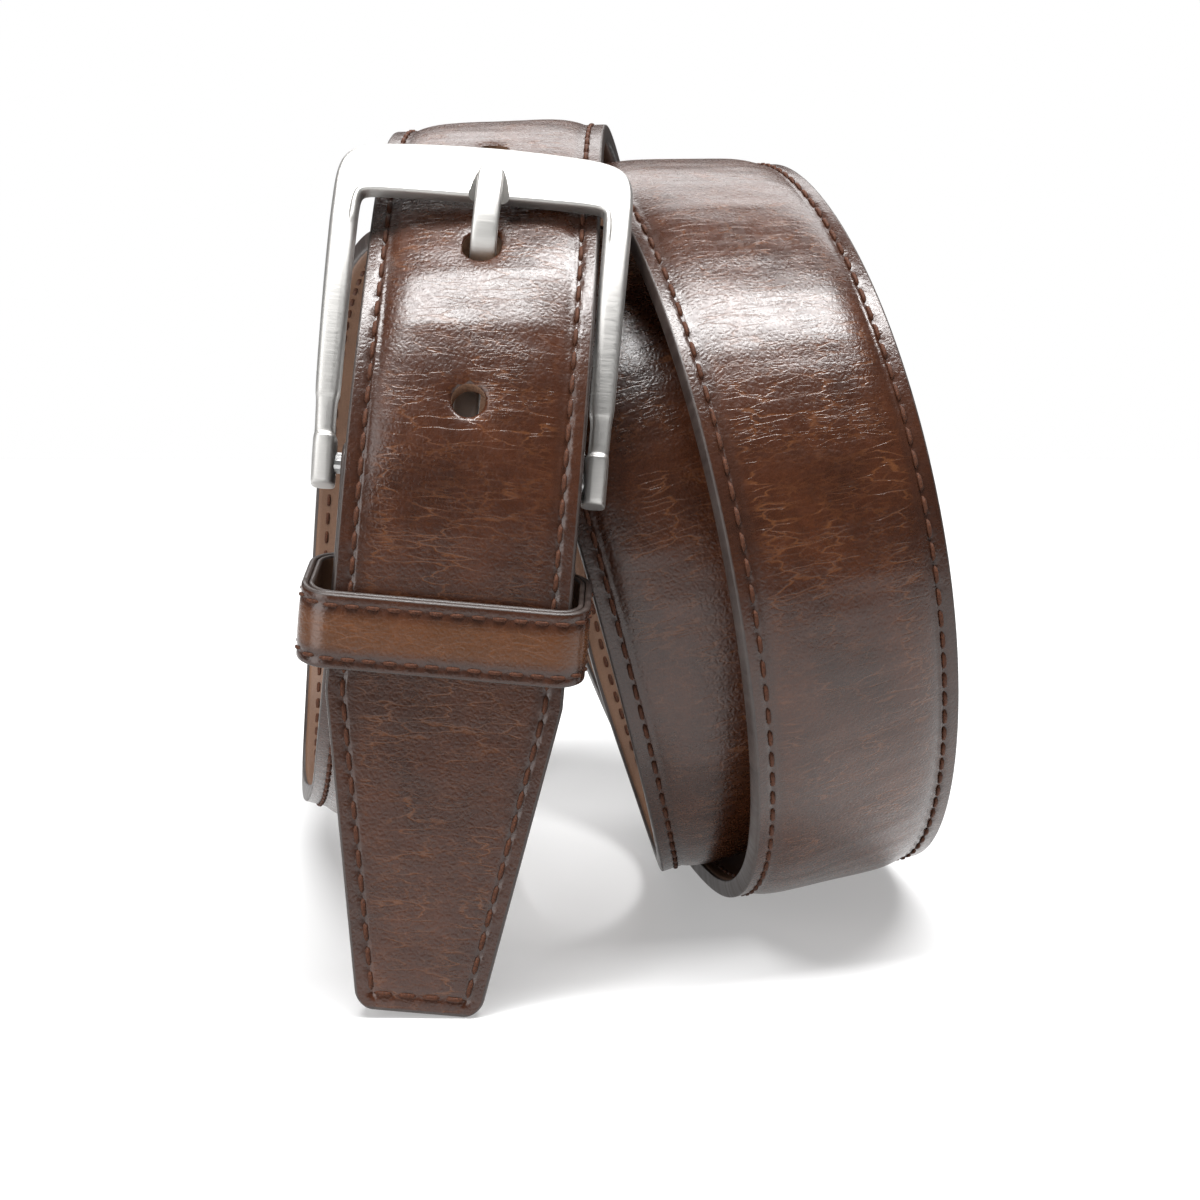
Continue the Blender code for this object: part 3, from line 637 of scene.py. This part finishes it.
def stitches(name, middles, along, outward, thread, body, length, width):
    """Thread between needle holes: each stitch is a rounded bar that dives in at both ends."""
    rings, sides = 7, 6
    s = np.linspace(-1, 1, rings)
    radius = width * np.sqrt(np.clip(1 - s**4, 0.06, 1))
    rise = 0.20 - 0.42 * s**4
    turn = np.linspace(0, 2 * math.pi, sides, endpoint=False)
    across = np.cross(along, outward)
    centre = (middles[:, None] + along[:, None] * (s * length / 2)[None, :, None]
              + outward[:, None] * rise[None, :, None])
    ring = (across[:, None] * np.cos(turn)[None, :, None]
            + outward[:, None] * 0.8 * np.sin(turn)[None, :, None])
    points = centre[:, :, None] + ring[:, None] * radius[None, :, None, None]
    one = tube_faces(rings, sides)
    faces = [[i + k * rings * sides for i in face] for k in range(len(middles)) for face in one]
    obj = new_object(name, above_floor(points), faces, [thread], body)
    facing_out(obj)
    return obj


def strap_stitching(name, start, height, out, thread):
    """Both side rows and the row across the tip, at this height, seen from the side out."""
    holes = NEEDLE_HOLES[NEEDLE_HOLES >= start]
    middles = (holes[1:] + holes[:-1]) / 2
    point, along, side, outward = PATH.at(middles)
    inset = (half_width(PATH.length - middles) - STITCH_INSET)[:, None]
    slope = np.gradient(inset[:, 0], middles)[:, None]
    rows = []
    for hand in (-1, 1):
        heading = unit(along + side * slope * hand)
        rows.append((point + side * inset * hand + outward * height, heading, outward * out))
    point, along, side, outward = PATH.at(PATH.length - STITCH_INSET)
    between = (TIP_HOLES[1:] + TIP_HOLES[:-1])[:, None] / 2
    rows.append((point + side * between + outward * height,
                 np.repeat(side, len(between), 0), np.repeat(outward * out, len(between), 0)))
    middle, heading, up = (np.vstack(part) for part in zip(*rows))
    return stitches(name, middle, heading, up, thread, "strap", STITCH_LENGTH, STITCH_WIDTH)


def all_stitching(thread):
    needle = strap_stitching("needle_stitches", NEEDLE_START, MARGIN_TOP - GROOVE_DEPTH, 1,
                             thread)
    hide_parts("needle_thread")
    bobbin = strap_stitching("bobbin_stitches", BOBBIN_START, MARGIN_BOTTOM + 0.12, -1, thread)
    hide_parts("bobbin_thread")


# ---------------------------------------------------------------------------------------------
# The turned-back end round the heel bar

def tab_section(low, high):
    """Points round a plain layer of leather with rounded, painted edges."""
    wide = WIDTH / 2 - EDGE_ROUND
    v = np.linspace(-wide, wide, TAB_POINTS)
    turn = np.linspace(0, math.pi, TAB_EDGE_POINTS + 2)[1:-1]
    middle, half = (high + low) / 2, (high - low) / 2
    bulge = EDGE_ROUND * np.sin(turn)
    right = np.stack([wide + bulge, middle + half * np.cos(turn)], 1)
    left = np.stack([-wide - bulge[::-1], middle - half * np.cos(turn)], 1)
    top = np.stack([v, np.full(TAB_POINTS, high)], 1)
    bottom = np.stack([v[::-1], np.full(TAB_POINTS, low)], 1)
    return np.vstack([top, right, bottom, left])


def strap_tab(brown, paint, cut):
    """The leather under the strap, round the heel bar and on into the strap's own face."""
    rings, place_along = [], []

    def add(point, side, away, low, high, along):
        pairs = tab_section(low, high)
        rings.append(np.array(point) + np.outer(pairs[:, 0], side) + np.outer(pairs[:, 1], away))
        place_along.append(np.stack([pairs[:, 0], np.full(len(pairs), along)], 1))

    for distance in np.linspace(TAB_LENGTH - 0.4, 4.0, 32):
        point, _, side, outward = (rows[0] for rows in PATH.at(distance))
        add(point, side, -outward, 0.3, 1.6, -distance)
    point, _, side, outward = (rows[0] for rows in PATH.at(2.2))
    add(point, side, -outward, 1.3, 2.6, -2.2)
    point, along, side, outward = (rows[0] for rows in PATH.at(0))
    for degrees in np.linspace(180, 0, 15):
        turn = math.radians(degrees)
        away = outward * math.cos(turn) - along * math.sin(turn)
        add(point, side, away, WRAP_INSIDE, WRAP_OUTSIDE, 6 - degrees / 30)
    point, _, side, outward = (rows[0] for rows in PATH.at(2.2))
    add(point, side, outward, 1.2, 2.7, 8)
    for distance in (4.0, 5.5, 7.0, 8.5):
        point, _, side, outward = (rows[0] for rows in PATH.at(distance))
        add(point, side, outward, MARGIN_TOP - 1.25, MARGIN_TOP - 0.05, 6 + distance)
    points = np.array(rings)
    rows, columns = points.shape[:2]
    obj = new_object("strap_tab", points, tube_faces(rows, columns), [brown, paint], "strap")
    set_uv(obj, np.array(place_along))
    set_value(obj, "crown", np.zeros(rows * columns))
    at = np.arange((rows - 1) * columns).reshape(rows - 1, columns)
    right_edge = slice(TAB_POINTS - 1, TAB_POINTS + TAB_EDGE_POINTS)
    left_edge = slice(2 * TAB_POINTS + TAB_EDGE_POINTS - 1, None)
    set_material(obj, 1, np.r_[at[:, right_edge].ravel(), at[:, left_edge].ravel()])
    facing_out(obj)
    point, along, side, outward = PATH.one(0)
    bm = bmesh.new()
    place = Matrix((side, along, side.cross(along))).transposed().to_4x4()
    place.translation = (point - along * 0.6) * MM
    bmesh.ops.create_cube(bm, size=1.0)
    bmesh.ops.scale(bm, vec=Vector((SLOT_WIDTH, SLOT_LENGTH, 9)) * MM, verts=bm.verts)
    bmesh.ops.transform(bm, matrix=place, verts=bm.verts)
    cut_with(obj, hidden_cutter("slot", bm, cut))


# ---------------------------------------------------------------------------------------------
# The buckle

class BuckleFrame:
    """The buckle's own axes: origin on the heel bar, x across, y to the toe bar, z outward."""

    def __init__(self):
        self.origin, _, side, _ = PATH.one(0)
        toe, _, _, toe_out = PATH.one(PATH.length - FIRST_HOLE - HOLE_PITCH - HOLE_TO_TOE)
        self.x = side
        reach = toe + toe_out * TOE_LIFT - self.origin
        self.y = (reach - side * reach.dot(side)).normalized()
        self.z = self.x.cross(self.y)

    def point(self, x, y, z):
        return self.origin + self.x * x + self.y * y + self.z * z

    def local(self, point):
        offset = Vector(point) - self.origin
        return offset.dot(self.x), offset.dot(self.y), offset.dot(self.z)

    def matrix(self):
        matrix = Matrix((self.x, self.y, self.z)).transposed().to_4x4()
        matrix.translation = self.origin * MM
        return matrix


BUCKLE = BuckleFrame()
PRONG_HOLE = BUCKLE.local(PATH.one(PATH.length - FIRST_HOLE - HOLE_PITCH)[0])


def arch(y):
    return ARCH * (1 - ((y - BAR_TO_TOE / 2) / (BAR_TO_TOE / 2))**2)


def prong_lean(y):
    return PRONG_HOLE[0] * min(max(y / PRONG_HOLE[1], 0), 1.3)


def buckle_frame(nickel):
    # The right half, heel to toe: outer and inner edge, half the thickness, the lip's height.
    toe = BAR_TO_TOE
    half = [(21.8, -3.4, 18.6, -3.4, 1.9, 0), (21.85, -3.2, 18.55, -3.2, 2.4, 0),
            (21.9, -2.4, 18.5, -2.4, 2.5, 0), (21.9, 3.0, 18.5, 3.0, 2.5, 0),
            (21.85, 3.5, 18.6, 3.5, 2.4, 0), (21.8, 3.8, 18.9, 3.8, 1.65, 0),
            (21.8, 4.6, 18.95, 4.6, 1.55, 0), (21.9, 8.9, 18.95, 8.9, 1.55, 0),
            (22.0, 9.3, 18.7, 9.3, 1.8, 0), (22.1, 10, 18.6, 10, 1.9, 0),
            (22.2, 17, 18.6, 17, 1.9, 0), (22.3, 24, 18.6, 24, 1.9, 0),
            (22.4, toe - 16, 18.6, toe - 16, 1.9, 0), (22.5, toe - 9.6, 18.6, toe - 10, 1.9, 0),
            (22.5, toe - 8.9, 18.6, toe - 9.4, 1.9, LIP),
            (22.5, toe - 6, 18.6, toe - 6.9, 1.9, LIP),
            (22.5, toe - 2.4, 18.5, toe - 5.3, 1.9, LIP),
            (22.1, toe + 0.6, 18.1, toe - 4.6, 1.85, LIP),
            (20.9, toe + 2.8, 16.9, toe - 4.3, 1.8, LIP),
            (17.8, toe + 4.1, 14.6, toe - 4.15, 1.8, LIP),
            (12, toe + 4.6, 10, toe - 4.05, 1.7, LIP),
            (6.5, toe + 4.9, 6.0, toe - 4, 1.7, LIP), (2.6, toe + 5.0, 2.6, toe - 4, 1.7, LIP)]
    rows = half + [(-ox, oy, -ix, iy, t, lip) for ox, oy, ix, iy, t, lip in reversed(half)]
    rings = []
    for outer_x, outer_y, inner_x, inner_y, thick, lip in rows:
        outer, inner = Vector((outer_x, outer_y)), Vector((inner_x, inner_y))
        wide = (outer - inner).length
        thick *= BUCKLE_SWELL
        ring = []
        section = ((0, -0.55, 0), (0.5, -0.98, 0), (wide * 0.5, -1.04, 0), (wide - 0.5, -0.98, 0),
                   (wide, -0.55, 0), (wide, 0.45, 0), (wide - 0.35, 0.9, 0), (wide - 1.0, 1.0, 0),
                   (1.35, 1.02, 0), (1.1, 1.0, 0.2), (0.95, 0.98, 1), (0.3, 0.9, 1), (0, 0.4, 0.6))
        for reach, up, lipped in section:
            spot = inner.lerp(outer, 0.5 + (reach / wide - 0.5) * BUCKLE_SWELL)
            ring.append(BUCKLE.point(spot.x, spot.y, arch(spot.y) + up * thick + lipped * lip))
        rings.append(ring)
    points = np.array(rings)
    obj = new_object("buckle_satin", points, tube_faces(*points.shape[:2]), [nickel], "buckle")
    facing_out(obj)
    subdivide(obj)
    bore_and_seat(obj)
    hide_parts("buckle_frame")


def bore_and_seat(obj):
    """Cuts the heel bar's bore, and the prong's shallow seat in the toe bar."""
    bm = bmesh.new()
    across = BUCKLE.matrix() @ Matrix.Rotation(math.radians(90), 4, "Y")
    radius = (BAR_RADIUS + 0.25) * MM
    bmesh.ops.create_cone(bm, cap_ends=True, segments=48, radius1=radius, radius2=radius,
                          depth=2 * (BAR_HALF_LENGTH + BORE_CLEARANCE) * MM, matrix=across)
    toe = BAR_TO_TOE
    middle = Vector((prong_lean(toe), toe + 0.4, arch(toe) + SEAT_RISE))
    seat = BUCKLE.matrix() @ Matrix.Translation(middle * MM)
    radius = SEAT_DIAMETER / 2 * MM
    bmesh.ops.create_cone(bm, cap_ends=True, segments=64, radius1=radius, radius2=radius,
                          depth=SEAT_LENGTH * MM,
                          matrix=seat @ Matrix.Rotation(math.radians(90), 4, "X"))
    cut_with(obj, hidden_cutter("bore_and_seat", bm, obj.data.materials[0]))
    obj.data.set_sharp_from_angle(angle=math.radians(35))


def prong(nickel):
    _, hole_y, hole_z = PRONG_HOLE
    eye = BAR_RADIUS + EYE_CLEARANCE + EYE_THICKNESS / 2
    # Place along the buckle, height, thickness and width: first round the heel bar, then out.
    rows = []
    for degrees in range(10, -271, -28):
        turn = math.radians(degrees)
        rows.append((eye * math.cos(turn), eye * math.sin(turn), EYE_THICKNESS, PRONG_WIDTH))
    full, toe = PRONG_THICKNESS, BAR_TO_TOE
    rows += [(6, 2.4, 1.6, PRONG_WIDTH), (12, 1.7, full, PRONG_WIDTH),
             (21, 0.7, full, PRONG_WIDTH),
             (hole_y - 5, hole_z - 4.3, full, PRONG_WIDTH),
             (hole_y - 2.3, hole_z - 3.3, 2.2, PRONG_WIDTH),
             (hole_y - 0.5, hole_z, 2.3, PRONG_WIDTH),
             (hole_y + 0.9, hole_z + 2.7, 2.3, PRONG_WIDTH),
             (hole_y + 2.4, hole_z + 3.8, 2.4, PRONG_WIDTH),
             (hole_y + 4.5, hole_z + 4.1, full, PRONG_WIDTH),
             (toe - 3.5, arch(toe - 3.5) + 3.1, full, PRONG_WIDTH),
             (toe - 0.6, arch(toe) + 3.0, 2.3, PRONG_WIDTH),
             (toe + 0.6, arch(toe) + 2.9, 1.9, 3.5), (toe + 1.2, arch(toe) + 2.8, 1.1, 2.4)]
    line = [Vector((0, y, z)) for y, z, _, _ in rows]
    rings = []
    for i, (y, z, thick, wide) in enumerate(rows):
        heading = (line[min(i + 1, len(line) - 1)] - line[max(i - 1, 0)]).normalized()
        up = Vector((0, -heading.z, heading.y))
        ring = []
        for a, b in ((-0.5, -0.25), (-0.4, -0.45), (-0.2, -0.5), (0.2, -0.5), (0.4, -0.45),
                     (0.5, -0.25), (0.5, 0.3), (0.44, 0.47), (0.2, 0.5), (-0.2, 0.5),
                     (-0.44, 0.47), (-0.5, 0.3)):
            spot = Vector((prong_lean(y) + a * wide, y, z)) + up * b * thick
            ring.append(BUCKLE.point(*spot))
        rings.append(ring)
    points = np.array(rings)
    obj = new_object("prong_satin", points, tube_faces(*points.shape[:2]), [nickel], "prong")
    facing_out(obj)
    subdivide(obj)
    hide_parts("prong")


# ---------------------------------------------------------------------------------------------
# The keeper

class KeeperFrame:
    """The keeper's axes and the box inside it: across and out of the strap, in mm."""

    def __init__(self):
        self.origin, self.along, self.side, self.outward = PATH.one(PATH.length - KEEPER_FROM_TIP)
        edges = []
        for distance in (12, 16, 20, 24, 28):
            point, _, side, outward = PATH.one(distance)
            for v in (-WIDTH / 2, 0, WIDTH / 2):
                edges.append(point + side * v + outward * MARGIN_BOTTOM - self.origin)
        across = [edge.dot(self.side) for edge in edges]
        depth = min(edge.dot(self.outward) for edge in edges)
        self.left = min(-WIDTH / 2, min(across)) - KEEPER_SLACK_LEFT
        self.right = max(WIDTH / 2, max(across)) + KEEPER_SLACK_RIGHT
        self.low, self.high = depth - KEEPER_SLACK_BELOW, MARGIN_TOP + KEEPER_SLACK_ABOVE

    def ring(self, grow, radius, steps=12):
        """A rounded rectangle round the two straps, with its outward directions."""
        left, right = self.left - grow + radius, self.right + grow - radius
        low, high = self.low - grow + radius, self.high + grow - radius
        corners = ((left, high, 180), (right, high, 90), (right, low, 0), (left, low, -90))
        spots, ways = [], []
        for x, z, start in corners:
            for turn in np.radians(start - np.linspace(0, 90, steps)):
                way = np.array((math.cos(turn), math.sin(turn)))
                spots.append(np.array((x, z)) + radius * way)
                ways.append(way)
        spots, ways = np.array(spots), np.array(ways)
        # More points on the long flat runs, so that they can carry a grain.
        out_spots, out_ways = [], []
        for i in range(len(spots)):
            j = (i + 1) % len(spots)
            run = np.linalg.norm(spots[j] - spots[i])
            for share in np.linspace(0, 1, max(int(run / 0.8), 1), endpoint=False):
                out_spots.append(spots[i] * (1 - share) + spots[j] * share)
                out_ways.append(unit(ways[i] * (1 - share) + ways[j] * share))
        return np.array(out_spots), np.array(out_ways)

    def place(self, x, y, z):
        y = y + KEEPER_TILT * (z - (self.low + self.high) / 2)
        return (np.array(self.origin) + np.multiply.outer(x, np.array(self.side))
                + np.multiply.outer(y, np.array(self.along))
                + np.multiply.outer(z, np.array(self.outward)))


KEEPER = KeeperFrame()


def keeper_ply(name, inside, thick, made_of, paint, crown):
    """One ply: a band with rounded edges, bent round into a ring. Its outer face is crowned."""
    spots, ways = KEEPER.ring(inside, KEEPER_BEND + inside)
    half = KEEPER_WIDTH / 2
    y = np.r_[-half + 0.3, -half + 0.7, -half + 1.2, -half + 1.6, -half + 2.0,
              np.linspace(-half + 2.8, half - 2.8, 7), half - 2.0, half - 1.6, half - 1.2,
              half - 0.7, half - 0.3]
    groove = np.exp(-((np.abs(y) - half + KEEPER_STITCH_INSET) / 0.35)**2)
    up = thick + crown * (1 - (y / half)**2) - GROOVE_DEPTH * groove
    turn = np.linspace(0, math.pi, 7)[1:-1]
    right_y, right_up = half - 0.3 + 0.3 * np.sin(turn), thick / 2 * (1 + np.cos(turn))
    ring_y = np.r_[y, right_y, y[::-1], -right_y[::-1]]
    ring_up = np.r_[up, right_up, np.zeros(len(y)), right_up[::-1]]
    x = spots[:, None, 0] + ways[:, None, 0] * ring_up
    z = spots[:, None, 1] + ways[:, None, 1] * ring_up
    every_y = np.broadcast_to(ring_y, x.shape)
    points = KEEPER.place(x, every_y, z)
    rows, columns = x.shape
    obj = new_object(name, points, tube_faces(rows, columns, True), [made_of, paint], "keeper")
    run = np.r_[0, np.cumsum(np.linalg.norm(np.diff(spots, axis=0), axis=1))]
    set_uv(obj, np.stack([np.broadcast_to(run[:, None], x.shape), every_y], -1))
    set_value(obj, "crown", np.clip((half - 2.2 - np.abs(every_y)) / 1.5, 0, 1))
    at = np.arange(rows * columns).reshape(rows, columns)
    set_material(obj, 1, np.r_[at[:, len(y) - 1:len(y) + len(turn)].ravel(),
                               at[:, 2 * len(y) + len(turn) - 1:].ravel()])
    facing_out(obj)
    return obj


def keeper(brown, smooth_brown, paint, thread):
    inner_ply, outer_ply, face = KEEPER_PLIES_INSIDE
    outer = keeper_ply("keeper_outer_ply", outer_ply, 0.95, brown, paint, 0.15)
    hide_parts("keeper_leather")
    inner = keeper_ply("keeper_inner_ply", inner_ply, 0.8, smooth_brown, paint, 0.0)
    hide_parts("keeper_lining")
    spots, ways = KEEPER.ring(face, KEEPER_BEND + face)
    closed = np.vstack([spots, spots[:1]])
    run = np.r_[0, np.cumsum(np.linalg.norm(np.diff(closed, axis=0), axis=1))]
    count = round(run[-1] / KEEPER_STITCH_PITCH)
    middles = (np.arange(count) + 0.5) * run[-1] / count
    facing = np.vstack([ways, ways[:1]])
    x, z, way_x, way_z = (np.interp(middles, run, c) for c in (*closed.T, *facing.T))
    outward = unit(np.outer(way_x, KEEPER.side) + np.outer(way_z, KEEPER.outward))
    along = unit(np.cross(np.array(KEEPER.along), outward))
    for name, node, hand in (("keeper_stitches_upper", "keeper_thread_upper", -1),
                             ("keeper_stitches_lower", "keeper_thread_lower", 1)):
        y = np.full(count, hand * (KEEPER_WIDTH / 2 - KEEPER_STITCH_INSET))
        row = stitches(name, KEEPER.place(x, y, z) - outward * 0.08, along, outward, thread,
                       "keeper", length=2.4, width=0.3)
        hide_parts(node)


# ---------------------------------------------------------------------------------------------
# Stage, light and camera

CAMERA_DISTANCE, CAMERA_ELEVATION = 450.0, 12.2
CAMERA_TARGET = (COIL_AXIS[0] + 4.5, COIL_AXIS[1], 47.7)
LENS, SENSOR = 78.6, 36.0


def stage():
    """A white floor just under the belt. It ends behind it, where the white world takes over."""
    mesh = bpy.data.meshes.new("floor")
    wide, front, back, height = 1.6, -1.6, 0.45, -0.00002
    corners = [(-wide, front, height), (wide, front, height), (wide, back, height),
               (-wide, back, height)]
    mesh.from_pydata(corners, [], [(0, 1, 2, 3)])
    floor = bpy.data.objects.new("floor", mesh)
    bpy.context.scene.collection.objects.link(floor)
    n = Nodes("white_floor")
    n.set(Base_Color=(0.55, 0.55, 0.55, 1), Roughness=0.7, Emission_Color=(1, 1, 1, 1),
          Emission_Strength=0.36)
    mesh.materials.append(n.material)


def area_light(name, size, energy, place, target):
    data = bpy.data.lights.new(name, "AREA")
    data.shape = "RECTANGLE"
    data.size, data.size_y = size
    data.energy = energy
    lamp = bpy.data.objects.new(name, data)
    lamp.location = place
    lamp.rotation_euler = (Vector(target) - Vector(place)).to_track_quat("-Z", "Y").to_euler()
    bpy.context.scene.collection.objects.link(lamp)


def lights():
    middle = (0, 0, 0.06)
    area_light("top_softbox", (0.8, 0.16), 12.0, (0.05, -0.13, 0.73), middle)
    area_light("left_softbox", (0.6, 0.7), 4.6, (-0.62, -0.62, 0.34), middle)
    area_light("back_softbox", (1.2, 0.5), 6.0, (0.1, 0.9, 0.8), middle)
    world = bpy.data.worlds.new("studio")
    bpy.context.scene.world = world
    world.use_nodes = True
    tree = world.node_tree
    room = tree.nodes["Background"]
    room.inputs["Color"].default_value = (1, 1, 1, 1)
    room.inputs["Strength"].default_value = 0.10
    backdrop = tree.nodes.new("ShaderNodeBackground")
    backdrop.inputs["Color"].default_value = (1, 1, 1, 1)
    backdrop.inputs["Strength"].default_value = 1.0
    seen = tree.nodes.new("ShaderNodeLightPath")
    either = tree.nodes.new("ShaderNodeMixShader")
    tree.links.new(seen.outputs["Is Camera Ray"], either.inputs[0])
    tree.links.new(room.outputs[0], either.inputs[1])
    tree.links.new(backdrop.outputs[0], either.inputs[2])
    tree.links.new(either.outputs[0], tree.nodes["World Output"].inputs["Surface"])


def camera():
    data = bpy.data.cameras.new("camera")
    data.lens, data.sensor_width = LENS, SENSOR
    data.clip_start = 0.01
    eye = bpy.data.objects.new("camera", data)
    tilt = math.radians(CAMERA_ELEVATION)
    away = Vector((0, -math.cos(tilt), math.sin(tilt))) * CAMERA_DISTANCE
    eye.location = (Vector(CAMERA_TARGET) + away) * MM
    eye.rotation_euler = (math.radians(90) - tilt, 0, 0)
    bpy.context.scene.collection.objects.link(eye)
    bpy.context.scene.camera = eye


def main():
    brown = brown_leather("brown_leather", STRAP_SHADES, 0.0)
    keeper_brown = brown_leather("keeper_leather", STRAP_SHADES, 0.3)
    paint, cut = edge_paint(), cut_leather()
    smooth_brown, thread = lining_leather(), thread_material()
    nickel, steel = satin_nickel("satin_nickel", 0.5, 0.000010), steel_wire()
    strap_leather(brown, paint, cut)
    strap_lining(smooth_brown, cut)
    strap_tab(brown, paint, cut)
    all_stitching(thread)
    buckle_frame(nickel)
    prong(nickel)
    keeper(keeper_brown, smooth_brown, paint, thread)
    for node in ("heel_bar", "keeper_staple"):
        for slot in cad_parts[node].material_slots:
            slot.material = steel
    for node in ("turnback_post_1", "turnback_post_2", "turnback_screw_1", "turnback_screw_2"):
        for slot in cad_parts[node].material_slots:
            slot.material = nickel
    stage()
    lights()
    camera()
    bpy.context.scene.view_settings.view_transform = "Standard"


main()
